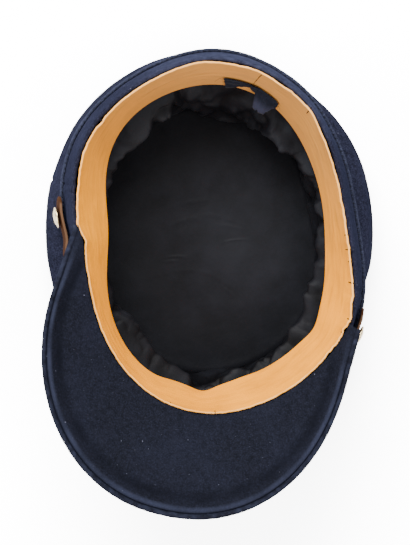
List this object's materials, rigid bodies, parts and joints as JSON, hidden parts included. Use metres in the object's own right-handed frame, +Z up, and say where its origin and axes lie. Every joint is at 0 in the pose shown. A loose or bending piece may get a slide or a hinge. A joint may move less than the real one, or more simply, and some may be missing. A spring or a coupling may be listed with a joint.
{
  "type": "yacht cap",
  "caption": "Wool yacht cap lying upside-down on its crown, with a stiff peak, leather sweatband, gathered lining, chin strap and domed side buttons.",
  "frame": {"origin": "on the crown's flat tip that it rests on, under the middle of the head opening", "axes": "+Z up, out of the head opening; -Y forward, towards the peak; +X to the right of someone who stands before the peak"},
  "size_m": [0.2106, 0.2738, 0.1151],
  "materials": {
    "wool": "navy melton wool, felted and matt",
    "wool_trim": "navy wool, folded and stitched",
    "sweatband_leather": "tan vegetable-tanned leather, smooth, slightly creased",
    "ribbon": "navy ribbed ribbon with frayed ends",
    "lining_satin": "black satin, soft sheen, gathered",
    "strap_leather": "brown strap leather, worn edges",
    "brass": "gilt brass, polished dome"
  },
  "bodies": {
    "root": {"crown_tip": "wool", "crown_side": "wool", "band_piping": "wool_trim", "band": "wool", "peak": "wool", "peak_binding": "wool_trim", "sweatband": "sweatband_leather", "sweatband_bow": "ribbon", "lining_side": "lining_satin", "lining_tip": "lining_satin", "chin_strap": "strap_leather", "button_left": "brass", "button_right": "brass"}
  },
  "joints": []
}
